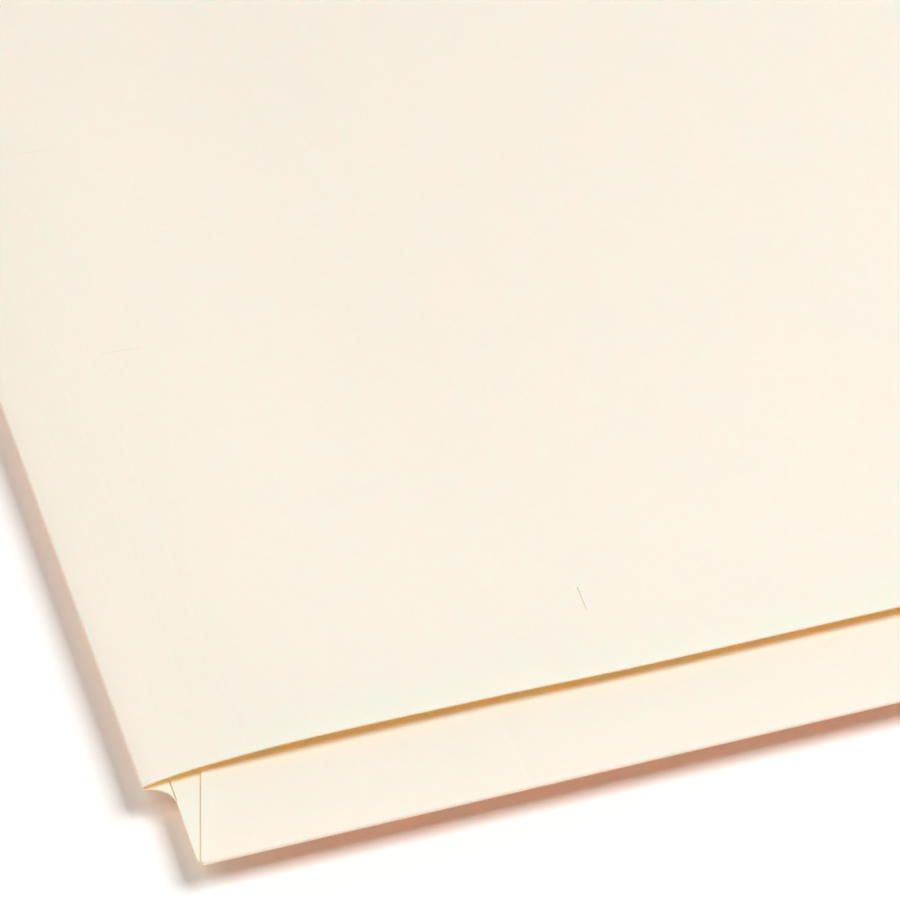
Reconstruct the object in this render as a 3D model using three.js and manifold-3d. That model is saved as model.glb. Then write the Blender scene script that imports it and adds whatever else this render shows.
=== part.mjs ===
// End-tab fastener folder, letter size, lying closed on its back panel.
// One die-cut sheet of manila board, divided at its creases, with two bonded prong fasteners
// inside at the end away from the tab: one on the back panel, one on the front panel.
//
// Layout frame used below (mm): u across the folder from the fold, v along the folder from the
// front panel's end edge away from the tab (the tab is at v < 0), z up from the table.
// The exported frame has the same directions with its origin under the middle of the folder.
import * as THREE from 'three';
import { mergeVertices } from 'three/addons/utils/BufferGeometryUtils.js';
import Module from 'manifold-3d';

// ---------------------------------------------------------------- driving dimensions (mm)
const WIDTH = 241.3;            // fold to open side, 9-1/2 in
const LENGTH = 311.15;          // tab's outer edge to far end, 12-1/4 in
const TAB = 19.8;               // how far the tab stands past the front panel
const FAR = LENGTH - TAB;       // front panel's length
const BOARD = 0.36;             // board thickness, 14 pt
const FLAP = 0.30;              // folded and glued reinforcing flap on the tab
const FLAP_IN = 12;             // how far the flap reaches in under the front panel
const CREASE = 4.76;            // back crease from the fold, 3/16 in
const CUT = 0.2;                // half of the gap left at a crease
const CORNER_R = 6;             // open-side corners
const NOTCH_R = 4.45;           // quarter-round notch between fold and tab
const NOTCH_U = 0.2, NOTCH_V = -4.5;
const LIFT = 5.4;               // curl that holds the fold side and the tab off the table
const LIFT_FRONT = 3.2;         // share of it that the front panel follows; the rest closes the gap
const FRONT_Z = 3.2;            // front panel's top over the table with no profile and no curl
const STRIP_FOLD_Z = LIFT + 0.6;          // top of the spine strip at the fold

// front panel's top height over the fold: at its end edge, and from v = 65 on
const END_PROFILE = [[0, 0.42], [1, 0.70], [2, 0.90], [3.5, 1.07], [5, 1.18], [8, 1.37], [12, 1.68], [18, 2.12], [25, 2.46], [33, 2.6],
  [45, 2.55], [60, 2.38], [80, 2.3], [100, 2.34], [120, 2.35], [136, 2.38], [180, 2.36], [241.3, 2.28]];
const FAR_PROFILE = [[0, 0.42], [1, 0.66], [2, 0.84], [5, 1.15], [8, 1.35], [12, 1.58], [18, 1.85], [25, 1.98], [33, 1.98],
  [45, 1.78], [60, 1.50], [76, 1.33], [88, 1.26], [90, 1.26], [241.3, 1.26]];
const END_RECESS = 0.6;         // the end edge runs slightly back near the fold

// prong slits through the front panel: [u, v, length, along 'u' or 'v']
const SLIT_W = 0.25;
const SLITS = [
  [85.9, 20.2, 6.6, 'v'], [155.6, 20.2, 6.6, 'v'],
  [25.3, 115.2, 8.0, 'u'], [25.3, 185.1, 8.0, 'u'],
];

// bonded prong fastener, 2-3/4 in centre to centre, 1 in capacity
const FAST_U = WIDTH / 2, FAST_V = 272;
const HALF_PITCH = 34.925;
const PATCH = { x: 96, y: 25, t: 0.12, ridgeY: 9.0, ridgeZ: 0.48 };
const BASE = { x: 81, y: 7.6, t: 0.30, z: 0.02 };
const STUB = { y: 3.2, t: 0.30, top: 1.0 };
const BAR = { x: 86, y: 9.6, t: 0.30, z: 0.72, slotX: 1.2, slotY: 4.4 };
const PRONG = { y: 3.2, t: 0.30, len: 25.4, z: 1.06 };
const PRONG_AXIS_X = HALF_PITCH + 0.15, PRONG_AXIS_Z = 1.03;
const LOCK = { x: 8, halfY: 6.1, wall: 0.25, z0: 0.50, lip: 0.18, lipIn: 2.6, top: 1.67, start: 0.6 };

// ---------------------------------------------------------------- materials
const board = () => new THREE.MeshStandardMaterial({ color: 0xf7ecdb, roughness: 0.85, metalness: 0 });
const boardDeep = () => new THREE.MeshStandardMaterial({ color: 0xf6ead6, roughness: 0.85, metalness: 0 });
const kraft = () => new THREE.MeshStandardMaterial({ color: 0xefe2c9, roughness: 0.8, metalness: 0 });
const steel = () => new THREE.MeshStandardMaterial({ color: 0xb9bcc0, roughness: 0.32, metalness: 1 });

// ---------------------------------------------------------------- helpers
const clamp01 = t => Math.min(1, Math.max(0, t));
const smooth = t => { const c = clamp01(t); return c * c * (3 - 2 * c); };

// monotone cubic through a table of [x, y]
function curve(table) {
  const n = table.length, m = new Array(n).fill(0), s = [];
  for (let i = 0; i < n - 1; i++) s.push((table[i + 1][1] - table[i][1]) / (table[i + 1][0] - table[i][0]));
  for (let i = 1; i < n - 1; i++) m[i] = s[i - 1] * s[i] <= 0 ? 0 : 2 / (1 / s[i - 1] + 1 / s[i]);
  m[0] = s[0]; m[n - 1] = s[n - 2];
  return x => {
    let i = 0;
    while (i < n - 2 && x > table[i + 1][0]) i++;
    const h = table[i + 1][0] - table[i][0], t = clamp01((x - table[i][0]) / h);
    const t2 = t * t, t3 = t2 * t;
    return (2 * t3 - 3 * t2 + 1) * table[i][1] + (t3 - 2 * t2 + t) * h * m[i]
      + (3 * t2 - 2 * t3) * table[i + 1][1] + (t3 - t2) * h * m[i + 1];
  };
}
const endProfile = curve(END_PROFILE), farProfile = curve(FAR_PROFILE);

// a sheet over a grid of (i, j): at(i, j) gives [x, y, zTop], closed with an underside and walls
function sheet(ni, nj, at, thickness) {
  const pos = [], idx = [], n = ni * nj;
  for (const drop of [0, thickness]) {
    for (let i = 0; i < ni; i++) for (let j = 0; j < nj; j++) {
      const [x, y, z] = at(i, j);
      pos.push(x, y, z - drop);
    }
  }
  const top = (i, j) => i * nj + j, low = (i, j) => n + i * nj + j;
  for (let i = 0; i < ni - 1; i++) for (let j = 0; j < nj - 1; j++) {
    idx.push(top(i, j), top(i + 1, j), top(i + 1, j + 1), top(i, j), top(i + 1, j + 1), top(i, j + 1));
    idx.push(low(i, j), low(i + 1, j + 1), low(i + 1, j), low(i, j), low(i, j + 1), low(i + 1, j + 1));
  }
  const wall = (a, b, c, d) => idx.push(a, b, c, a, c, d);
  for (let i = 0; i < ni - 1; i++) {
    wall(top(i, 0), low(i, 0), low(i + 1, 0), top(i + 1, 0));
    wall(top(i + 1, nj - 1), low(i + 1, nj - 1), low(i, nj - 1), top(i, nj - 1));
  }
  for (let j = 0; j < nj - 1; j++) {
    wall(top(0, j + 1), low(0, j + 1), low(0, j), top(0, j));
    wall(top(ni - 1, j), low(ni - 1, j), low(ni - 1, j + 1), top(ni - 1, j + 1));
  }
  const g = new THREE.BufferGeometry();
  g.setAttribute('position', new THREE.Float32BufferAttribute(pos, 3));
  g.setIndex(idx);
  return g;
}

const wasm = await Module();
wasm.setup();
function solid(geometry) {
  const bare = geometry.clone();
  bare.deleteAttribute('normal'); bare.deleteAttribute('uv');
  const merged = mergeVertices(bare, 1e-4);
  return new wasm.Manifold(new wasm.Mesh({
    numProp: 3,
    vertProperties: new Float32Array(merged.attributes.position.array),
    triVerts: new Uint32Array(merged.index.array),
  }));
}
function geometryOf(manifold) {
  const m = manifold.getMesh(), pos = [];
  for (let i = 0; i < m.numVert; i++) {
    for (let k = 0; k < 3; k++) pos.push(m.vertProperties[i * m.numProp + k]);
  }
  const g = new THREE.BufferGeometry();
  g.setAttribute('position', new THREE.Float32BufferAttribute(pos, 3));
  g.setIndex(Array.from(m.triVerts));
  return g;
}
function boxAt(x0, x1, y0, y1, z0, z1) {
  const g = new THREE.BoxGeometry(x1 - x0, y1 - y0, z1 - z0);
  g.translate((x0 + x1) / 2, (y0 + y1) / 2, (z0 + z1) / 2);
  return g;
}
function named(name, geometry, material) {
  const mesh = new THREE.Mesh(geometry, material);
  mesh.name = name;
  return mesh;
}

// ---------------------------------------------------------------- the sheet's surfaces
// share of the curl at a point: 1 along the fold and the tab, 0 where the folder lies flat
const curl = (u, v) => 1 - smooth((u - 6) / 64) * smooth(v / 100);
// inner (upper) face of the back panel
const backTop = (u, v) => LIFT * curl(u, v) + BOARD;
// outer (upper) face of the front panel
function frontTop(u, v) {
  const g = smooth(v / 65);
  return FRONT_Z + LIFT_FRONT * curl(u, v) + (1 - g) * endProfile(u) + g * farProfile(u);
}
const endEdge = u => END_RECESS * smooth(u / 10) * (1 - smooth((u - 60) / 35));
const rightEdge = (v, low, high) => {
  const d = v < low + CORNER_R ? low + CORNER_R - v : v > high - CORNER_R ? v - high + CORNER_R : 0;
  return WIDTH - CORNER_R + Math.sqrt(Math.max(0, CORNER_R * CORNER_R - d * d));
};
const spread = (a, b, n) => Array.from({ length: n + 1 }, (_, i) => a + (b - a) * i / n);
const cornerSteps = [0, 0.12, 0.35, 0.8, 1.5, 2.6, 4.1, 6];

// ---------------------------------------------------------------- back panel with the tab
const backLeft = v => {
  if (v > -3.9) return CREASE + CUT;
  if (v > -17.8) return 4.40 + (v + 17.8) * 0.018;
  return 4.40 + (-17.8 - v) * 0.3;
};
const backRows = [
  ...cornerSteps.map(s => -TAB + s), -17.8, -10, -3.95, -3.85, 0, 4, 8, 12,
  ...spread(16, 100, 12), ...spread(120, 270, 5), ...cornerSteps.map(s => FAR - s).reverse(),
].sort((a, b) => a - b).filter((v, i, all) => i === 0 || v - all[i - 1] > 0.02);
const acrossBack = [0, 0.01, 0.03, 0.06, 0.09, 0.12, 0.15, 0.18, 0.21, 0.24, 0.28, 0.4, 0.6, 0.8, 0.94, 1];
const backPanel = sheet(acrossBack.length, backRows.length, (i, j) => {
  const v = backRows[j], l = backLeft(v), r = rightEdge(v, -TAB, FAR);
  const u = l + (r - l) * acrossBack[i];
  return [u, v, backTop(u, v)];
}, BOARD);

// ---------------------------------------------------------------- folded flap that doubles the tab
const flapRows = backRows.filter(v => v <= FLAP_IN).map(v => Math.max(v, -TAB + 0.05));
const flapLeft = v => Math.max(4.70 + (v + TAB) * 0.27, backLeft(v) + 0.05);
const tabFlap = sheet(acrossBack.length, flapRows.length, (i, j) => {
  const v = flapRows[j], l = flapLeft(v), r = rightEdge(v, -TAB, FAR) - 0.3;
  const u = l + (r - l) * acrossBack[i];
  return [u, v, backTop(u, v) + 0.05 + FLAP];
}, FLAP);

// ---------------------------------------------------------------- spine strip between fold and crease
const stripRows = [-3.3, -2.9, -2.3, -1.6, -0.9, -0.4, -0.05, ...spread(6, 286, 10), FAR];
const stripLeft = v => Math.max(0.3, v > -0.05 ? 0.3 : NOTCH_U + Math.sqrt(NOTCH_R ** 2 - (v - NOTCH_V) ** 2));
const spineStrip = sheet(4, stripRows.length, (i, j) => {
  const v = stripRows[j], l = stripLeft(v), r = CREASE - CUT;
  const u = l + (r - l) * i / 3;
  const crease = LIFT + BOARD;
  return [u, v, STRIP_FOLD_Z + (crease - STRIP_FOLD_Z) * (u - 0.3) / (CREASE - CUT - 0.3)];
}, BOARD);

// ---------------------------------------------------------------- front panel with its prong slits
const acrossFront = [0.3, 1.2, 2.4, 4, 6.35, 9, 12.7, 16, 19.05, 24, 30, 37, 45, 54, 62, 70, 78, 88, 100, 125, 160, 200,
  ...cornerSteps.map(s => WIDTH - s).reverse()];
const alongFront = [0, 0.012, 0.03, 0.055, 0.08, 0.11, 0.14, 0.17, 0.2, 0.225, 0.26, 0.3, 0.345, 0.45, 0.6, 0.75, 0.9, 1];
const frontSheet = sheet(acrossFront.length, alongFront.length, (i, j) => {
  const u = acrossFront[i];
  const d = Math.max(0, u - (WIDTH - CORNER_R));
  const round = CORNER_R - Math.sqrt(CORNER_R * CORNER_R - d * d);
  const v0 = endEdge(u) + round, v1 = FAR - round;
  const v = v0 + (v1 - v0) * alongFront[j];
  return [u, v, frontTop(u, v)];
}, BOARD);
let front = solid(frontSheet);
for (const [u, v, len, along] of SLITS) {
  const z = frontTop(u, v);
  const cut = along === 'v'
    ? boxAt(u - SLIT_W / 2, u + SLIT_W / 2, v - len / 2, v + len / 2, z - 2, z + 2)
    : boxAt(u - len / 2, u + len / 2, v - SLIT_W / 2, v + SLIT_W / 2, z - 2, z + 2);
  front = front.subtract(solid(cut));
}
const frontPanel = geometryOf(front);

// ---------------------------------------------------------------- prong fastener
// local frame: x across the folder, y along it, z away from the panel's inner face
function extrudeAlongX(points, length) {
  const shape = new THREE.Shape(points.map(([y, z]) => new THREE.Vector2(y, z)));
  const g = new THREE.ExtrudeGeometry(shape, { depth: length, bevelEnabled: false });
  // shape x -> y, shape y -> z, extrusion -> x
  g.applyMatrix4(new THREE.Matrix4().set(0, 0, 1, -length / 2, 1, 0, 0, 0, 0, 1, 0, 0, 0, 0, 0, 1));
  return g;
}
function plate(outline, thickness, z) {
  const shape = new THREE.Shape(outline.map(([x, y]) => new THREE.Vector2(x, y)));
  const g = new THREE.ExtrudeGeometry(shape, { depth: thickness, bevelEnabled: false });
  g.translate(0, 0, z);
  return g;
}
function roundedRect(w, h, r, steps = 5) {
  const pts = [];
  for (const [cx, cy, a0] of [[w / 2 - r, h / 2 - r, 0], [-w / 2 + r, h / 2 - r, 90], [-w / 2 + r, -h / 2 + r, 180], [w / 2 - r, -h / 2 + r, 270]]) {
    for (let k = 0; k <= steps; k++) {
      const a = (a0 + 90 * k / steps) * Math.PI / 180;
      pts.push([cx + r * Math.cos(a), cy + r * Math.sin(a)]);
    }
  }
  return pts;
}

function fastener(prefix) {
  const group = new THREE.Group();

  // metal base with its two upright stubs
  const baseOutline = roundedRect(BASE.x, BASE.y, 2.2);
  let base = solid(plate(baseOutline, BASE.t, BASE.z));
  for (const s of [-1, 1]) {
    const x = s * (HALF_PITCH + 0.15);
    base = base.add(solid(boxAt(x - STUB.t / 2, x + STUB.t / 2, -STUB.y / 2, STUB.y / 2, BASE.z + 0.1, STUB.top)));
  }
  group.add(named(`${prefix}_fastener_base`, geometryOf(base), steel()));

  // bonding strip: flat margins on the panel and a raised middle over the base, slotted for the stubs
  const { y, t, ridgeY, ridgeZ } = PATCH, r = ridgeY / 2, o = y / 2;
  const hat = [[-o, 0], [-r - 1.2, 0], [-r, ridgeZ - t], [r, ridgeZ - t], [r + 1.2, 0], [o, 0],
    [o, t], [r + 1.25, t], [r + 0.05, ridgeZ], [-r - 0.05, ridgeZ], [-r - 1.25, t], [-o, t]];
  let strip = solid(extrudeAlongX(hat, PATCH.x));
  for (const s of [-1, 1]) {
    const x = s * (HALF_PITCH + 0.15);
    strip = strip.subtract(solid(boxAt(x - 0.6, x + 0.6, -2.2, 2.2, -1, 2)));
  }
  group.add(named(`${prefix}_bonding_strip`, geometryOf(strip), kraft()));

  // compressor bar with a slot for each prong
  let bar = solid(plate(roundedRect(BAR.x, BAR.y, 3.2), BAR.t, BAR.z));
  for (const s of [-1, 1]) {
    const x = s * (HALF_PITCH + 0.15);
    bar = bar.subtract(solid(boxAt(x - BAR.slotX / 2, x + BAR.slotX / 2, -BAR.slotY / 2, BAR.slotY / 2, 0, 2)));
  }
  group.add(named(`${prefix}_compressor_bar`, geometryOf(bar), steel()));

  // prongs folded inward, flat over the bar
  for (const [side, s] of [['left', -1], ['right', 1]]) {
    const x0 = HALF_PITCH, x1 = x0 + 0.15 - PRONG.len, w = PRONG.y / 2;
    const outline = [[x0, -w], [x0, w], [x1 + 2.2, w], [x1 + 0.8, w * 0.72], [x1, w * 0.3], [x1, -w * 0.3], [x1 + 0.8, -w * 0.72], [x1 + 2.2, -w]];
    const pts = s > 0 ? outline.slice().reverse() : outline.map(([x, yy]) => [-x, yy]);
    group.add(named(`${prefix}_prong_${side}`, plate(pts, PRONG.t, PRONG.z), steel()));
  }

  // sliding locks: sleeves around the bar, open in the middle of their underside
  for (const [side, s] of [['left', -1], ['right', 1]]) {
    const { halfY: h, wall, z0, lip, lipIn, top } = LOCK;
    const c = [[-h, z0], [-h + lipIn, z0], [-h + lipIn, z0 + lip], [-h + wall, z0 + lip], [-h + wall, top - wall],
      [h - wall, top - wall], [h - wall, z0 + lip], [h - lipIn, z0 + lip], [h - lipIn, z0], [h, z0], [h, top - 0.3], [h - 0.3, top], [-h + 0.3, top], [-h, top - 0.3]];
    const g = extrudeAlongX(c, LOCK.x);
    g.translate(s * (LOCK.start + LOCK.x / 2), 0, 0);
    group.add(named(`${prefix}_lock_${side}`, g, steel()));
  }
  return group;
}

// ---------------------------------------------------------------- assembly
const folder = new THREE.Group();
folder.position.set(-WIDTH / 2, -(FAR - TAB) / 2, 0);
folder.add(named('back_panel', backPanel, board()));
folder.add(named('tab_flap', tabFlap, board()));
folder.add(named('spine_strip', spineStrip, boardDeep()));
folder.add(named('front_panel', frontPanel, board()));

const backFastener = fastener('back');
backFastener.position.set(FAST_U, FAST_V, BOARD);
folder.add(backFastener);

const frontFastener = fastener('front');
frontFastener.rotation.x = Math.PI;
frontFastener.position.set(FAST_U, FAST_V, FRONT_Z + 1.26 - BOARD);
folder.add(frontFastener);

const part = new THREE.Group();
part.add(folder);

export default part;
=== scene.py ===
import math

import bpy
import bmesh
import numpy as np
from mathutils import Matrix, Vector


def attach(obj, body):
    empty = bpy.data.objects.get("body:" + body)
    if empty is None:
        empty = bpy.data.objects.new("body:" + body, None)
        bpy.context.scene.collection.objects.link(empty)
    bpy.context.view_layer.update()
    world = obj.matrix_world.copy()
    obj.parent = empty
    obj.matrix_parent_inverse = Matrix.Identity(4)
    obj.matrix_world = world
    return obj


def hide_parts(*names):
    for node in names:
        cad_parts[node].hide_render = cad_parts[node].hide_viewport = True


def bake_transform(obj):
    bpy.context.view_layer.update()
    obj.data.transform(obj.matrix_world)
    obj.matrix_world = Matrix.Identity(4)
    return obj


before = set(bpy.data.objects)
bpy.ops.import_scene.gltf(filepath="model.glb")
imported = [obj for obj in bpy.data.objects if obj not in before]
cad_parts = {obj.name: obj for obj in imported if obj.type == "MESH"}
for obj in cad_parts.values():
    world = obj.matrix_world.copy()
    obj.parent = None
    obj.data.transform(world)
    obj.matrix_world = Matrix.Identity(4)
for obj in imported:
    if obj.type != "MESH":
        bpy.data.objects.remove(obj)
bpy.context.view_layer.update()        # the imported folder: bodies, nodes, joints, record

# ------------------------------------------------------------------ sizes, in mm, as in the CAD part
# Layout frame: u across the folder from the fold, v along it from the front panel's end edge,
# z up from the table. row() turns it into metres in the row frame.
WIDTH, LENGTH, TAB = 241.3, 311.15, 19.8
FAR = LENGTH - TAB
BOARD, FLAP, FLAP_IN = 0.36, 0.30, 12.0
CREASE, CORNER_R = 4.76, 6.0
NOTCH_R, NOTCH_U, NOTCH_V = 4.45, 0.2, -4.5
LIFT, LIFT_FRONT, FRONT_Z = 5.4, 3.2, 3.2
STRIP_FOLD_Z = LIFT + 0.6
FOLD_U = 0.33
RIM = 0.06               # rounding of the cut edges

END_PROFILE = [[0, 0.42], [1, 0.70], [2, 0.90], [3.5, 1.07], [5, 1.18], [8, 1.37], [12, 1.68], [18, 2.12], [25, 2.46], [33, 2.6],
               [45, 2.55], [60, 2.38], [80, 2.3], [100, 2.34], [120, 2.35], [136, 2.38], [180, 2.36], [241.3, 2.28]]
FAR_PROFILE = [[0, 0.42], [1, 0.66], [2, 0.84], [5, 1.15], [8, 1.35], [12, 1.58], [18, 1.85], [25, 1.98], [33, 1.98],
               [45, 1.78], [60, 1.50], [76, 1.33], [88, 1.26], [90, 1.26], [241.3, 1.26]]
END_RECESS = 0.6
SCORES = [6.35, 12.7, 19.05]
GUIDES = [10.4 + 26.3 * k for k in range(9)]
# u, v, length, width, turn from +v in degrees
SLITS = [(85.95, 20.2, 6.6, 0.13, -5.0), (155.6, 20.2, 6.6, 0.13, 0.0),
         (25.3, 115.2, 8.0, 0.06, 90.0), (25.3, 185.1, 8.0, 0.06, 90.0)]


def row(p):
    """mm in the layout frame to metres in the row frame"""
    p = np.asarray(p, float)
    return (p - np.array([WIDTH / 2, (FAR - TAB) / 2, 0.0])) * 0.001


def smooth(t):
    c = min(1.0, max(0.0, t))
    return c * c * (3 - 2 * c)


def curve(table):
    """monotone cubic through a table of (x, y), as in the CAD part"""
    n = len(table)
    s = [(table[i + 1][1] - table[i][1]) / (table[i + 1][0] - table[i][0]) for i in range(n - 1)]
    m = [s[0]] + [0 if s[i - 1] * s[i] <= 0 else 2 / (1 / s[i - 1] + 1 / s[i]) for i in range(1, n - 1)] + [s[-1]]

    def at(x):
        i = 0
        while i < n - 2 and x > table[i + 1][0]:
            i += 1
        h = table[i + 1][0] - table[i][0]
        t = min(1.0, max(0.0, (x - table[i][0]) / h))
        t2, t3 = t * t, t * t * t
        return ((2 * t3 - 3 * t2 + 1) * table[i][1] + (t3 - 2 * t2 + t) * h * m[i]
                + (3 * t2 - 2 * t3) * table[i + 1][1] + (t3 - t2) * h * m[i + 1])
    return at


end_profile, far_profile = curve(END_PROFILE), curve(FAR_PROFILE)


def curl(u, v):
    """share of the lift: 1 along the fold and the tab, 0 where the folder lies flat"""
    return 1 - smooth((u - 6) / 64) * smooth(v / 100)


def back_top(u, v):
    return LIFT * curl(u, v) + BOARD


def groove(d, half, depth):
    """a pressed score line: a soft valley with a slight lip"""
    x = d / half
    return -depth * math.exp(-x * x) + 0.25 * depth * math.exp(-(abs(x) - 1.9) ** 2 * 2)


def front_top(u, v):
    g = smooth(v / 65)
    z = FRONT_Z + LIFT_FRONT * curl(u, v) + (1 - g) * end_profile(u) + g * far_profile(u)
    for s in SCORES:
        if abs(u - s) < 2:
            z += groove(u - s, 0.32, 0.012)
    return z


def end_edge(u):
    return END_RECESS * smooth(u / 10) * (1 - smooth((u - 60) / 35))


def right_edge(v, low, high):
    d = low + CORNER_R - v if v < low + CORNER_R else v - high + CORNER_R if v > high - CORNER_R else 0
    return WIDTH - CORNER_R + math.sqrt(max(0, CORNER_R ** 2 - d * d))


def back_left(v):
    if v > -3.9:
        return CREASE + 0.07
    if v > -17.8:
        return 4.40 + (v + 17.8) * 0.018
    return 4.40 + (-17.8 - v) * 0.3


def flap_left(v):
    return max(4.70 + (v + TAB) * 0.27, back_left(v) + 0.05)


def strip_top(u):
    return STRIP_FOLD_Z + (LIFT + BOARD - STRIP_FOLD_Z) * (u - FOLD_U) / (CREASE - FOLD_U)


# ------------------------------------------------------------------ mesh tools
def mesh_object(name, verts, faces, smooth_angle=38):
    me = bpy.data.meshes.new(name)
    me.from_pydata([tuple(p) for p in verts], [], faces)
    bm = bmesh.new()
    bm.from_mesh(me)
    bmesh.ops.remove_doubles(bm, verts=bm.verts, dist=1e-8)
    bmesh.ops.recalc_face_normals(bm, faces=bm.faces)
    bm.to_mesh(me)
    bm.free()
    me.polygons.foreach_set("use_smooth", [True] * len(me.polygons))
    me.set_sharp_from_angle(angle=math.radians(smooth_angle))
    ob = bpy.data.objects.new(name, me)
    bpy.context.scene.collection.objects.link(ob)
    return ob


def sheet_mesh(name, outer, inner, rim=RIM):
    """A closed sheet of board from two grids of points (mm), with its cut edges rounded by rim."""
    ni, nj, _ = outer.shape
    n = ni * nj
    verts = [*outer.reshape(-1, 3), *inner.reshape(-1, 3)]
    o = lambda i, j: i * nj + j
    faces = []
    for i in range(ni - 1):
        for j in range(nj - 1):
            faces.append((o(i, j), o(i + 1, j), o(i + 1, j + 1), o(i, j + 1)))
            faces.append((n + o(i, j), n + o(i, j + 1), n + o(i + 1, j + 1), n + o(i + 1, j)))
    ring = ([(i, 0) for i in range(ni)] + [(ni - 1, j) for j in range(1, nj)]
            + [(i, nj - 1) for i in range(ni - 2, -1, -1)] + [(0, j) for j in range(nj - 2, 0, -1)])
    mid = (outer + inner) / 2
    q = []
    for i, j in ring:
        d = np.zeros(3)
        for on, a in (((i == 0), (1, j)), ((i == ni - 1), (ni - 2, j)), ((j == 0), (i, 1)), ((j == nj - 1), (i, nj - 2))):
            if on:
                e = mid[i, j] - mid[a]
                d += e / max(1e-9, np.linalg.norm(e))
        d /= max(1e-9, np.linalg.norm(d))
        a, b = outer[i, j], inner[i, j]
        q.append((len(verts), len(verts) + 1))
        verts += [a * 0.8 + b * 0.2 + d * rim, a * 0.2 + b * 0.8 + d * rim]
    for k in range(len(ring)):
        m = (k + 1) % len(ring)
        a, b = o(*ring[k]), o(*ring[m])
        faces += [(a, q[k][0], q[m][0], b), (q[k][0], q[k][1], q[m][1], q[m][0]), (q[k][1], n + a, n + b, q[m][1])]
    return mesh_object(name, row(verts), faces)


def steps(*parts):
    """numbers from a list of (start, stop, spacing) runs, without near repeats"""
    out = []
    for a, b, d in parts:
        k = max(1, round((b - a) / d))
        out += [a + (b - a) * i / k for i in range(k + 1)]
    out = sorted(out)
    return [x for i, x in enumerate(out) if i == 0 or x - out[i - 1] > 0.045]


def cut(ob, cutters):
    """takes the cutters out of a closed mesh"""
    for c in cutters:
        m = ob.modifiers.new("cut", "BOOLEAN")
        m.operation, m.solver, m.object = "DIFFERENCE", "EXACT", c
    dg = bpy.context.evaluated_depsgraph_get()
    new = bpy.data.meshes.new_from_object(ob.evaluated_get(dg))
    ob.modifiers.clear()
    old = ob.data
    ob.data = new
    new.name = old.name
    bpy.data.meshes.remove(old)
    for c in cutters:
        bpy.data.objects.remove(c)


# ------------------------------------------------------------------ board: back panel, tab and folded flap
near_left = [0, 0.012, 0.05, 0.12, 0.22, 0.34, 0.48, 0.64, 0.82, 1.0]          # shares of left edge .. 16
mid_u = steps((16, 80, 2.0), (80, 229, 5.0), *[(g - 0.9, g + 0.9, 0.15) for g in GUIDES if 17 < g < 228])
near_right = [1 - x for x in (1.0, 0.75, 0.55, 0.38, 0.24, 0.14, 0.07, 0.025, 0.006, 0)]


def across(left, right):
    left, right = left + RIM, right - RIM
    return ([left + (16 - left) * t for t in near_left[:-1]] + mid_u
            + [229 + (right - 229) * t for t in near_right[1:]])


nose_r = (FLAP + 0.05 + BOARD) / 2
back_v = steps((-TAB + nose_r, -19.2, 0.12), (-19.2, -17.8, 0.35), (-17.8, -4.0, 1.15), (-3.97, -3.83, 0.14),
               (-3.6, 0, 0.6), (0, 104, 2.4), (104, 276, 7.0), (276, FAR - 3, 1.5), (FAR - 3, FAR - RIM, 0.3))
flap_v = [v for v in steps((-TAB + nose_r, -19.2, 0.12), (-19.2, -17.8, 0.35), (-17.8, 0, 1.15), (0, FLAP_IN - 0.2, 1.2),
                           (FLAP_IN - 0.2, FLAP_IN - RIM, 0.14))][::-1]


def guide(u, v):
    """faint pressed ticks across the tab"""
    z = 0.0
    for g in GUIDES:
        if abs(u - g) < 1.5:
            z += groove(u - g, 0.3, 0.014) * smooth((1.0 - v) / 0.6)
    return z


outer_rows, inner_rows = [], []
for v in flap_v:
    us = across(flap_left(v), right_edge(v, -TAB, FAR) - 0.05)
    free = [0.10 * (1 - smooth((u - us[0]) / 1.6)) for u in us]          # the glue stops short of its end
    outer_rows.append([(u, v, back_top(u, v) + 0.05 + FLAP + guide(u, v) + d) for u, d in zip(us, free)])
    inner_rows.append([(u, v, back_top(u, v) + 0.05 + d) for u, d in zip(us, free)])
for k in range(1, 10):
    a = math.radians(90 + 18 * k)
    vc, r_in = -TAB + nose_r, 0.025
    v = vc + nose_r * math.cos(a)
    us = across(5.05 - 0.05 * k / 10, right_edge(v, -TAB, FAR))
    zc = [back_top(u, v) + 0.05 / 2 - 0.03 for u in us]
    outer_rows.append([(u, v, z + nose_r * math.sin(a)) for u, z in zip(us, zc)])
    inner_rows.append([(u, vc + r_in * math.cos(a), z + 0.03 + r_in * math.sin(a)) for u, z in zip(us, zc)])
for v in back_v:
    us = across(back_left(v), right_edge(v, -TAB, FAR))
    outer_rows.append([(u, v, back_top(u, v) - BOARD) for u in us])
    inner_rows.append([(u, v, back_top(u, v)) for u in us])
back_sheet = sheet_mesh("back_sheet", np.array(outer_rows), np.array(inner_rows))

# ------------------------------------------------------------------ board: spine strip, fold and front panel
def strip_low(u):
    """the quarter-round notch: where the strip ends towards the tab"""
    d = NOTCH_R ** 2 - (u - NOTCH_U) ** 2
    return max(-3.93, NOTCH_V + math.sqrt(max(0, d)))


strip_u = [4.63, 4.57, 4.50, 4.43, 4.34, 4.22, 4.08, 3.9, 3.6, 3.2, 2.8, 2.4, 2.0, 1.6, 1.2, 0.9, 0.6]
front_u = steps((0.58, 5, 0.44), (5, 20.5, 0.8), (20.5, 100, 2.2), (100, 232, 5.0),
                *[(s - 1.1, s + 1.1, 0.11) for s in SCORES])
front_u += [WIDTH - x for x in (6, 4.8, 3.7, 2.7, 1.9, 1.25, 0.75, 0.4, 0.2, RIM)]
along = steps((RIM, 0.4, 0.11), (0.4, 2, 0.4), (2, 10, 1.0), (10, 104, 2.2), (104, 276, 7.0), (276, FAR - 3, 1.5),
              (FAR - 3, FAR - 0.4, 0.4), (FAR - 0.4, FAR - RIM, 0.11))

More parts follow.
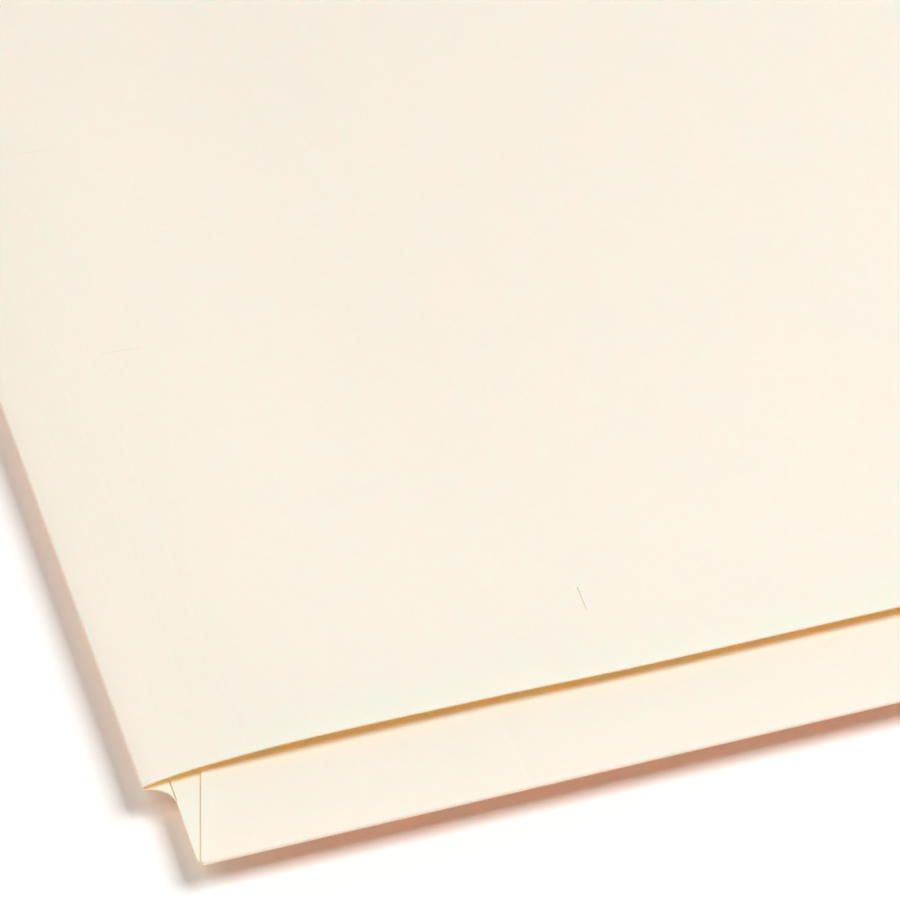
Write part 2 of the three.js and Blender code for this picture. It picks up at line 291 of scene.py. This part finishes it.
outer_cols, inner_cols = [], []
for u in strip_u:
    v0, v1 = strip_low(u), FAR
    vs = [v0 + (v1 - v0) * a / FAR for a in along]
    outer_cols.append([(u, v, strip_top(u) - BOARD) for v in vs])
    inner_cols.append([(u, v, strip_top(u)) for v in vs])
for k in range(11):
    a = math.radians(270 - 18 * k)
    outer, inner = [], []
    for t in along:
        top = front_top(FOLD_U, t)
        zc, r = (top + STRIP_FOLD_Z - BOARD) / 2, (top - STRIP_FOLD_Z + BOARD) / 2
        zi, ri = (top - BOARD + STRIP_FOLD_Z) / 2, (top - BOARD - STRIP_FOLD_Z) / 2
        outer.append((FOLD_U + r * math.cos(a), t, zc + r * math.sin(a)))
        inner.append((FOLD_U + ri * math.cos(a), t, zi + ri * math.sin(a)))
    outer_cols.append(outer)
    inner_cols.append(inner)
for u in front_u:
    d = max(0.0, u - (WIDTH - CORNER_R))
    turn = CORNER_R - math.sqrt(CORNER_R ** 2 - d * d)
    v0, v1 = end_edge(u) + turn, FAR - turn
    vs = [v0 + (v1 - v0) * a / FAR for a in along]
    outer_cols.append([(u, v, front_top(u, v)) for v in vs])
    inner_cols.append([(u, v, front_top(u, v) - BOARD) for v in vs])
cover_sheet = sheet_mesh("cover_sheet", np.array(outer_cols), np.array(inner_cols))

cutters = []
for k, (u, v, length, width, turn) in enumerate(SLITS):
    z = front_top(u, v) - BOARD / 2
    pts, w, h = [], width / 2, length / 2
    for zz in (z - 0.7, z + 0.7):
        for x, y in ((-w, -h + w), (0, -h), (w, -h + w), (w, h - w), (0, h), (-w, h - w)):
            a = math.radians(turn)
            pts.append((u + x * math.cos(a) - y * math.sin(a), v + x * math.sin(a) + y * math.cos(a), zz))
    faces = [tuple(range(5, -1, -1)), tuple(range(6, 12))] + [(i, (i + 1) % 6, 6 + (i + 1) % 6, 6 + i) for i in range(6)]
    cutters.append(mesh_object(f"slit_{k}", row(pts), faces))
cut(cover_sheet, cutters)
cover_sheet.data.set_sharp_from_angle(angle=math.radians(38))

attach(back_sheet, "back")
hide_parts("back_panel", "tab_flap")
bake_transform(cover_sheet)
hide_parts("front_panel", "spine_strip")


# ------------------------------------------------------------------ prong fasteners
# local frame as in the CAD part: x across the folder, y along it, z away from the panel's inner face
FAST_U, FAST_V, HALF_PITCH = WIDTH / 2, 272.0, 34.925
PRONG_X, PRONG_LEN, PRONG_T, PRONG_Z = HALF_PITCH + 0.15, 25.4, 0.30, 1.06


def on_panel(side, points):
    """local points of the back or front fastener to metres in the row frame"""
    p = np.asarray(points, float)
    if side == "back":
        p = p + np.array([FAST_U, FAST_V, BOARD])
    else:
        p = p * np.array([1, -1, -1]) + np.array([FAST_U, FAST_V, FRONT_Z + 1.26 - BOARD])
    return row(p)


def loft(name, side, rings, smooth_angle=35):
    """A closed solid through rings of equally many points, capped at both ends."""
    n = len(rings[0])
    verts = [q for ring in rings for q in ring]
    faces = [tuple(range(n - 1, -1, -1)), tuple(range((len(rings) - 1) * n, len(rings) * n))]
    for k in range(len(rings) - 1):
        for i in range(n):
            j = (i + 1) % n
            faces.append((k * n + i, k * n + j, (k + 1) * n + j, (k + 1) * n + i))
    return mesh_object(name, on_panel(side, verts), faces, smooth_angle)


def outline(w, h, r, inset, arc=10, straight=14):
    """points round a rectangle with round corners, drawn in by inset"""
    w, h, r = w - 2 * inset, h - 2 * inset, max(0.05, r - inset)
    pts = []
    for cx, cy, a0 in ((w / 2 - r, h / 2 - r, 0), (-w / 2 + r, h / 2 - r, 90),
                       (-w / 2 + r, -h / 2 + r, 180), (w / 2 - r, -h / 2 + r, 270)):
        for k in range(arc + 1):
            a = math.radians(a0 + 90 * k / arc)
            pts.append((cx + r * math.cos(a), cy + r * math.sin(a)))
    full = []
    for k, (x, y) in enumerate(pts):
        full.append((x, y))
        x2, y2 = pts[(k + 1) % len(pts)]
        if abs(x2 - x) > 4 * r / arc and abs(x2 - x) > 5:
            full += [(x + (x2 - x) * i / straight, y + (y2 - y) * i / straight) for i in range(1, straight)]
    return full


def stamped(name, side, w, h, r, t, z, bead=(0, 0, 0)):
    """A thin pressed plate: edges rounded over, and a shallow bead all round at a distance in from its edge."""
    e = 0.09
    at, wide, deep = bead
    down = [(e, 0), (0.3 * e, 0.3 * e), (0, e)]
    rings = [(0.0, None)]
    path = [(i, z + zz) for i, zz in down] + [(i, z + t - zz) for i, zz in reversed(down)]
    if deep:
        low = [(at + wide, z - 0), (at + 0.75 * wide, z), (at + 0.5 * wide, z), (at + 0.25 * wide, z), (at, z)]
        path = [(at + wide, z)] + [(at + f * wide, z - deep * math.sin(math.pi * f) * 0) for f in (0.75, 0.5, 0.25)] + [(at, z)] + path
        path += [(at + f * wide, z + t - deep * math.sin(math.pi * f) ** 2) for f in (0, 0.2, 0.35, 0.5, 0.65, 0.8, 1)]
    return loft(name, side, [[(x, y, zz) for x, y in outline(w, h, r, i)] for i, zz in path])


def cutter(name, side, cx, cy, w, h, r, z0, z1):
    return loft(name, side, [[(cx + x, cy + y, z) for x, y in outline(w, h, r, 0, arc=6)] for z in (z0, z1)])


fastener_steel, fastener_paper = [], []
for side, body in (("back", "back"), ("front", "cover")):
    # the metal strip that the prongs are formed from, under the bonding strip
    base = stamped(f"{side}_base", side, 81, 7.6, 2.2, 0.30, 0.02)
    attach(base, body)
    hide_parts(f"{side}_fastener_base")
    fastener_steel.append(base)

    # bonding strip: glued margins, and a raised middle over the metal, drawn tight over its ends
    nx, prof = 97, []
    half, ridge, top = 12.5, 4.5, 0.48
    ys = [-half, -half + 0.06, -half + 0.25, -9.6, -8, -6.6, -6.1, -5.8, -5.55, -5.3, -5.1, -4.9, -4.7, -4.4, -4.0, -3.2, -1.6, 0]
    ys += [-y for y in ys[-2::-1]]

    def ridge_height(x, y):
        across = 1 - smooth((abs(y) - 4.15) / 1.7)
        along_x = 1 - smooth((abs(x) - 40.4) / 2.2)
        low = 0.35 * across * along_x
        edge = 0.02 * math.exp(-((abs(y) - 4.3) / 0.5) ** 2) * along_x     # pressed line beside the metal
        return 0.03 + low - edge * across

    xs = steps((-48 + 0.06, -46, 0.5), (-46, -43, 0.75), (-43, -39, 0.4), (-39, -36.3, 0.9), (-36.3, -33.9, 0.3), (-33.9, 33.9, 3.0),
               (33.9, 36.3, 0.3), (36.3, 39, 0.9), (39, 43, 0.4), (43, 46, 0.75), (46, 48 - 0.06, 0.5))
    t = 0.10
    upper = np.array([[(x, y, ridge_height(x, y) + t) for y in ys] for x in xs])
    lower = np.array([[(x, y, ridge_height(x, y)) for y in ys] for x in xs])
    ni, nj, _ = upper.shape
    verts = [*upper.reshape(-1, 3), *lower.reshape(-1, 3)]
    o = lambda i, j: i * nj + j
    faces = []
    for i in range(ni - 1):
        for j in range(nj - 1):
            faces.append((o(i, j), o(i + 1, j), o(i + 1, j + 1), o(i, j + 1)))
            faces.append((ni * nj + o(i, j), ni * nj + o(i, j + 1), ni * nj + o(i + 1, j + 1), ni * nj + o(i + 1, j)))
    ring = ([(i, 0) for i in range(ni)] + [(ni - 1, j) for j in range(1, nj)]
            + [(i, nj - 1) for i in range(ni - 2, -1, -1)] + [(0, j) for j in range(nj - 2, 0, -1)])
    for k in range(len(ring)):
        a, b = o(*ring[k]), o(*ring[(k + 1) % len(ring)])
        faces.append((a, ni * nj + a, ni * nj + b, b))
    strip = mesh_object(f"{side}_strip", on_panel(side, verts), faces, 50)
    cut(strip, [cutter(f"c{s}", side, s * PRONG_X, 0, 1.2, 4.4, 0.5, -0.5, 1.5) for s in (-1, 1)])
    strip.data.set_sharp_from_angle(angle=math.radians(50))
    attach(strip, body)
    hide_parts(f"{side}_bonding_strip")
    fastener_paper.append(strip)

    # compressor bar: a pressed bar with a bead round its edge and a slot for each prong
    bar = stamped(f"{side}_bar", side, 86, 9.6, 3.2, 0.30, 0.72, bead=(0.7, 0.9, 0.09))
    cut(bar, [cutter(f"c{s}", side, s * PRONG_X, 0, 1.2, 4.4, 0.55, 0.2, 2.0) for s in (-1, 1)])
    bar.data.set_sharp_from_angle(angle=math.radians(35))
    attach(bar, body)
    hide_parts(f"{side}_compressor_bar")
    fastener_steel.append(bar)

    for way, s in (("left", -1), ("right", 1)):
        # prong: one thin tongue, up through the strip and the bar, bent over inwards, with a stiffening bead
        path = [(PRONG_X, 0.30 + 0.11 * i, 0) for i in range(5)]
        zc, r = PRONG_Z + PRONG_T / 2, 0.33
        path += [(PRONG_X - r * (1 - math.cos(math.radians(a))), zc - r + r * math.sin(math.radians(a)), math.radians(a))
                 for a in range(0, 91, 10)]
        tip = PRONG_X - PRONG_LEN
        path += [(x, zc, math.pi / 2) for x in steps((PRONG_X - r - 0.6, tip + 3.2, 1.4), (tip + 3.2, tip + 1.0, 0.35), (tip + 1.0, tip + 0.02, 0.14))[::-1]]
        rings = []
        for x, z, a in path:
            left = x - tip
            w = 1.6 * (math.sqrt(max(0.0, 1 - ((2.6 - left) / 2.6) ** 2)) ** 0.8 if left < 2.6 else 1.0)
            w = max(w, 0.16)
            tt = PRONG_T / 2
            bead = 0.035 * smooth((left - 3.0) / 1.5) * smooth((a - 1.4) / 0.17) * smooth((PRONG_X - 1.2 - x) / 1.5)
            sec = [(-w, -tt + 0.07), (-w + 0.07, -tt), (w - 0.07, -tt), (w, -tt + 0.07), (w, tt - 0.07), (w - 0.07, tt),
                   (0.34, tt), (0.2, tt + 0.7 * bead), (0, tt + bead), (-0.2, tt + 0.7 * bead), (-0.34, tt), (-w + 0.07, tt), (-w, tt - 0.07)]
            if w < 0.45:
                sec = [(min(max(y, -w), w) * 0.98, d) for y, d in sec]
            # the tongue's outward side turns from +x to +z round the bend
            nxv, nzv = math.cos(a), math.sin(a)
            rings.append([(s * (x + d * nxv), y, z + d * nzv) for y, d in sec])
        prong = loft(f"{side}_prong_{way[0]}", side, rings)
        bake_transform(prong)
        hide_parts(f"{side}_prong_{way}")
        fastener_steel.append(prong)

        # lock: a sleeve rolled round the bar's edges, with pressed grip lines across it
        h, wall, z0, lip, lip_in, top, start_x, length = 6.1, 0.25, 0.50, 0.18, 2.6, 1.67, 0.6, 8.0
        grips = [start_x + 2.6, start_x + 4.0, start_x + 5.4]
        lx = steps((start_x + 0.02, start_x + 0.3, 0.09), (start_x + 0.3, start_x + length - 0.3, 0.2),
                   (start_x + length - 0.3, start_x + length - 0.02, 0.09))
        rings = []
        for x in lx:
            e = min(x - start_x, start_x + length - x)
            inset = 0.06 * (1 - smooth(e / 0.12))
            g = sum(0.075 * math.exp(-((x - c) / 0.26) ** 2) for c in grips)
            q = []
            for y0, z in ((-h + lip_in, z0), (-h + 0.32, z0), (-h + 0.12, z0 + 0.07), (-h, z0 + 0.3), (-h, top - 0.42), (-h + 0.1, top - 0.16),
                          (-h + 0.34, top - 0.02), (-h + 0.8, top), (-3.6, top), (-3.3, top - 0.4 * g), (-3.0, top - g), (3.0, top - g), (3.3, top - 0.4 * g),
                          (3.6, top), (h - 0.8, top), (h - 0.34, top - 0.02), (h - 0.1, top - 0.16), (h, top - 0.42), (h, z0 + 0.3), (h - 0.12, z0 + 0.07),
                          (h - 0.32, z0), (h - lip_in, z0), (h - lip_in, z0 + lip), (h - 0.4, z0 + lip), (h - wall, z0 + lip + 0.14), (h - wall, top - wall - 0.14),
                          (h - 0.4, top - wall), (3.3, top - wall), (3.0, top - wall - 0.6 * g), (-3.0, top - wall - 0.6 * g), (-3.3, top - wall),
                          (-h + 0.4, top - wall), (-h + wall, top - wall - 0.14), (-h + wall, z0 + lip + 0.14), (-h + 0.4, z0 + lip), (-h + lip_in, z0 + lip)):
                mid_y, mid_z = 0, (z0 + top) / 2
                out_face = 1 if (abs(y0) > h - 0.2 or z in (z0, top) or z > top - 0.2) else 0
                q.append((s * x, y0 - inset * out_face * (1 if y0 > h - 0.2 else -1 if y0 < -h + 0.2 else 0),
                          z - inset * (1 if z > top - 0.2 else 0)))
            rings.append(q)
        lock = loft(f"{side}_lock_{way[0]}", side, rings)
        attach(lock, f"{body}_lock_{way[0]}")
        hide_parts(f"{side}_lock_{way}")
        fastener_steel.append(lock)


# ------------------------------------------------------------------ materials
def new_material(name):
    m = bpy.data.materials.new(name)
    m.use_nodes = True
    nt = m.node_tree
    nt.nodes.clear()
    out = nt.nodes.new("ShaderNodeOutputMaterial")
    bsdf = nt.nodes.new("ShaderNodeBsdfPrincipled")
    nt.links.new(bsdf.outputs[0], out.inputs[0])
    return m, nt, bsdf, out


def board_material():
    """Uncoated manila board: matte, and thin enough that light comes through it, warmer than it went in."""
    m, nt, bsdf, out = new_material("manila_board")
    N, L = nt.nodes, nt.links
    co = N.new("ShaderNodeTexCoord")
    # cloudy formation of the pulp, a few mm across
    cloud = N.new("ShaderNodeTexNoise")
    cloud.inputs["Scale"].default_value = 260
    cloud.inputs["Detail"].default_value = 5
    cloud.inputs["Roughness"].default_value = 0.6
    L.new(co.outputs["Object"], cloud.inputs["Vector"])
    ramp = N.new("ShaderNodeValToRGB")
    ramp.color_ramp.elements[0].position, ramp.color_ramp.elements[0].color = 0.3, (*BOARD_DEEP, 1)
    ramp.color_ramp.elements[1].position, ramp.color_ramp.elements[1].color = 0.7, (*BOARD_FACE, 1)
    L.new(cloud.outputs["Fac"], ramp.inputs["Fac"])
    # short fibres
    fibre = N.new("ShaderNodeTexNoise")
    fibre.inputs["Scale"].default_value = 2600
    fibre.inputs["Detail"].default_value = 3
    L.new(co.outputs["Object"], fibre.inputs["Vector"])
    bump = N.new("ShaderNodeBump")
    bump.inputs["Strength"].default_value = 0.12
    bump.inputs["Distance"].default_value = 0.00004
    L.new(fibre.outputs["Fac"], bump.inputs["Height"])
    L.new(ramp.outputs["Color"], bsdf.inputs["Base Color"])
    L.new(bump.outputs["Normal"], bsdf.inputs["Normal"])
    bsdf.inputs["Roughness"].default_value = 0.7
    bsdf.inputs["Specular IOR Level"].default_value = 0.2
    through = N.new("ShaderNodeBsdfTranslucent")
    through.inputs["Color"].default_value = (*BOARD_THROUGH, 1)
    both = N.new("ShaderNodeMixShader")
    both.inputs[0].default_value = BOARD_SHARE
    L.new(bsdf.outputs[0], both.inputs[1])
    L.new(through.outputs[0], both.inputs[2])
    L.new(both.outputs[0], out.inputs[0])
    return m


# what the face sends back (thick and thin spots of the pulp) and what it lets through, per colour
SENDS, SENDS_DEEP, LETS = (0.442, 0.670, 0.700), (0.439, 0.664, 0.692), (0.540, 0.262, 0.0)
BOARD_SHARE = 0.55       # of the light that takes the second way
BOARD_FACE = tuple(x / (1 - BOARD_SHARE) for x in SENDS)
BOARD_DEEP = tuple(x / (1 - BOARD_SHARE) for x in SENDS_DEEP)
BOARD_THROUGH = tuple(x / BOARD_SHARE for x in LETS)
board = board_material()
for ob in (back_sheet, cover_sheet):
    ob.data.materials.clear()
    ob.data.materials.append(board)

def steel_material():
    """Bright tinned strip steel, drawn along the folder's width, with faint handling marks."""
    m, nt, bsdf, _ = new_material("fastener_steel")
    N, L = nt.nodes, nt.links
    co, grain_map = N.new("ShaderNodeTexCoord"), N.new("ShaderNodeMapping")
    grain_map.inputs["Scale"].default_value = (60, 2600, 2600)
    L.new(co.outputs["Object"], grain_map.inputs["Vector"])
    grain = N.new("ShaderNodeTexNoise")
    grain.inputs["Scale"].default_value = 1.0
    grain.inputs["Detail"].default_value = 4
    L.new(grain_map.outputs["Vector"], grain.inputs["Vector"])
    marks = N.new("ShaderNodeTexNoise")
    marks.inputs["Scale"].default_value = 420
    marks.inputs["Detail"].default_value = 6
    L.new(co.outputs["Object"], marks.inputs["Vector"])
    tint = N.new("ShaderNodeValToRGB")
    tint.color_ramp.elements[0].position, tint.color_ramp.elements[0].color = 0.35, (0.80, 0.805, 0.81, 1)
    tint.color_ramp.elements[1].position, tint.color_ramp.elements[1].color = 0.65, (0.90, 0.90, 0.895, 1)
    L.new(marks.outputs["Fac"], tint.inputs["Fac"])
    rough = N.new("ShaderNodeMapRange")
    rough.inputs["From Min"].default_value, rough.inputs["From Max"].default_value = 0.3, 0.7
    rough.inputs["To Min"].default_value, rough.inputs["To Max"].default_value = 0.30, 0.46
    L.new(grain.outputs["Fac"], rough.inputs["Value"])
    bump = N.new("ShaderNodeBump")
    bump.inputs["Strength"].default_value = 0.10
    bump.inputs["Distance"].default_value = 0.00002
    L.new(grain.outputs["Fac"], bump.inputs["Height"])
    L.new(tint.outputs["Color"], bsdf.inputs["Base Color"])
    L.new(rough.outputs["Result"], bsdf.inputs["Roughness"])
    L.new(bump.outputs["Normal"], bsdf.inputs["Normal"])
    bsdf.inputs["Metallic"].default_value = 1.0
    return m


def strip_material():
    """The bonding strip's heavier, browner paper, with its fibres along the strip."""
    m, nt, bsdf, _ = new_material("bonding_paper")
    N, L = nt.nodes, nt.links
    co, stretch = N.new("ShaderNodeTexCoord"), N.new("ShaderNodeMapping")
    stretch.inputs["Scale"].default_value = (500, 1700, 1700)
    L.new(co.outputs["Object"], stretch.inputs["Vector"])
    fibre = N.new("ShaderNodeTexNoise")
    fibre.inputs["Scale"].default_value = 1.0
    fibre.inputs["Detail"].default_value = 5
    fibre.inputs["Roughness"].default_value = 0.62
    L.new(stretch.outputs["Vector"], fibre.inputs["Vector"])
    ramp = N.new("ShaderNodeValToRGB")
    ramp.color_ramp.elements[0].position, ramp.color_ramp.elements[0].color = 0.32, (0.90, 0.66, 0.43, 1)
    ramp.color_ramp.elements[1].position, ramp.color_ramp.elements[1].color = 0.68, (0.95, 0.76, 0.53, 1)
    L.new(fibre.outputs["Fac"], ramp.inputs["Fac"])
    bump = N.new("ShaderNodeBump")
    bump.inputs["Strength"].default_value = 0.25
    bump.inputs["Distance"].default_value = 0.00005
    L.new(fibre.outputs["Fac"], bump.inputs["Height"])
    L.new(ramp.outputs["Color"], bsdf.inputs["Base Color"])
    L.new(bump.outputs["Normal"], bsdf.inputs["Normal"])
    bsdf.inputs["Roughness"].default_value = 0.72
    bsdf.inputs["Specular IOR Level"].default_value = 0.3
    return m


for pieces, material, slot in ((fastener_steel, steel_material(), "fastener_steel"), (fastener_paper, strip_material(), "bonding_paper")):
    for ob in pieces:
        ob.data.materials.clear()
        ob.data.materials.append(material)

# ------------------------------------------------------------------ floor, light and camera
FLOOR_ALBEDO = 0.92
bpy.ops.mesh.primitive_plane_add(size=14, location=(0, 0, -0.00005))
floor = bpy.context.object
floor.name = "floor"
fm, fnt, fb, _ = new_material("floor_white")
fb.inputs["Base Color"].default_value = (FLOOR_ALBEDO,) * 3 + (1,)
fb.inputs["Roughness"].default_value = 0.9
fb.inputs["Specular IOR Level"].default_value = 0.0
floor.data.materials.append(fm)

corner = row((10, 0, 0))


def panel(name, height, s_x, s_y, level, colour=(1, 1, 1)):
    """A flat soft light overhead. s_x, s_y are its sides as tangents seen from the folder's near corner;
    level is the brightness it gives to the floor there, 1 being white."""
    x0, x1 = (s * height for s in s_x)
    y0, y1 = (s * height for s in s_y)
    gx, gy = np.meshgrid(np.linspace(x0, x1, 60), np.linspace(y0, y1, 60))
    area = (x1 - x0) * (y1 - y0)
    g = np.mean(height ** 2 / (gx ** 2 + gy ** 2 + height ** 2) ** 2) * area
    light = bpy.data.lights.new(name, "AREA")
    light.shape, light.color = "RECTANGLE", colour
    light.size, light.size_y = x1 - x0, y1 - y0
    light.energy = math.pi ** 2 * area * level / (FLOOR_ALBEDO * g)
    ob = bpy.data.objects.new(name, light)
    ob.location = (corner[0] + (x0 + x1) / 2, corner[1] + (y0 + y1) / 2, height)
    bpy.context.scene.collection.objects.link(ob)
    return ob


panel("key_panel", 1.9, (0.30, 1.0), (-0.5, 0.15), 0.613)
panel("fill_panel", 1.9, (-1.0, -0.2), (-0.5, 0.15), 0.243, (1.0, 0.985, 0.90))
world = bpy.data.worlds.new("studio")
world.use_nodes = True
bpy.context.scene.world = world
# the room: dim overhead, nearly dark in front, and a pale band round the sides and behind,
# which the bright metal has to reflect
wn, wl = world.node_tree.nodes, world.node_tree.links
sky = wn.new("ShaderNodeTexCoord")
split = wn.new("ShaderNodeSeparateXYZ")
wl.new(sky.outputs["Generated"], split.inputs[0])
band = wn.new("ShaderNodeValToRGB")                     # by height over the horizon
band.color_ramp.interpolation = "EASE"
for e, (at, v) in zip((band.color_ramp.elements[0], band.color_ramp.elements[1]), ((0.0, 0.8), (0.92, 0.15))):
    e.position, e.color = at, (v, v, v, 1)
middle = band.color_ramp.elements.new(0.4)
middle.color = (0.8, 0.8, 0.8, 1)
wl.new(split.outputs["Z"], band.inputs["Fac"])
behind = wn.new("ShaderNodeMapRange")                   # and by how far round behind the folder it is
behind.interpolation_type = "SMOOTHSTEP"
for k, v in (("From Min", -0.3), ("From Max", 0.35), ("To Min", 0.03), ("To Max", 0.95)):
    behind.inputs[k].default_value = v
wl.new(split.outputs["Y"], behind.inputs["Value"])
wl.new(band.outputs["Color"], wn["Background"].inputs["Color"])
wl.new(behind.outputs["Result"], wn["Background"].inputs["Strength"])
# light passes many times between the close faces of the board
bpy.context.scene.cycles.max_bounces = 64
bpy.context.scene.cycles.diffuse_bounces = 40
bpy.context.scene.cycles.transmission_bounces = 64

theta, elev = math.radians(18.1), math.radians(40.021)
cam_data = bpy.data.cameras.new("camera")
cam_data.sensor_fit = "HORIZONTAL"
cam_data.sensor_width = 36.0
cam_data.lens = 36.0 * 3711.0 / 900.0
cam_data.clip_start, cam_data.clip_end = 0.02, 50.0
cam = bpy.data.objects.new("camera", cam_data)
bpy.context.scene.collection.objects.link(cam)
cam.location = tuple(row((-88.73, -438.55, 448.3 + LIFT + BOARD + 0.05 + FLAP)))
look = Vector((math.sin(theta) * math.cos(elev), math.cos(theta) * math.cos(elev), -math.sin(elev)))
cam.rotation_mode = "QUATERNION"
cam.rotation_quaternion = look.to_track_quat("-Z", "Y")
bpy.context.scene.camera = cam

vs = bpy.context.scene.view_settings
vs.view_transform, vs.look, vs.exposure, vs.gamma = "Standard", "None", 0.0, 1.0
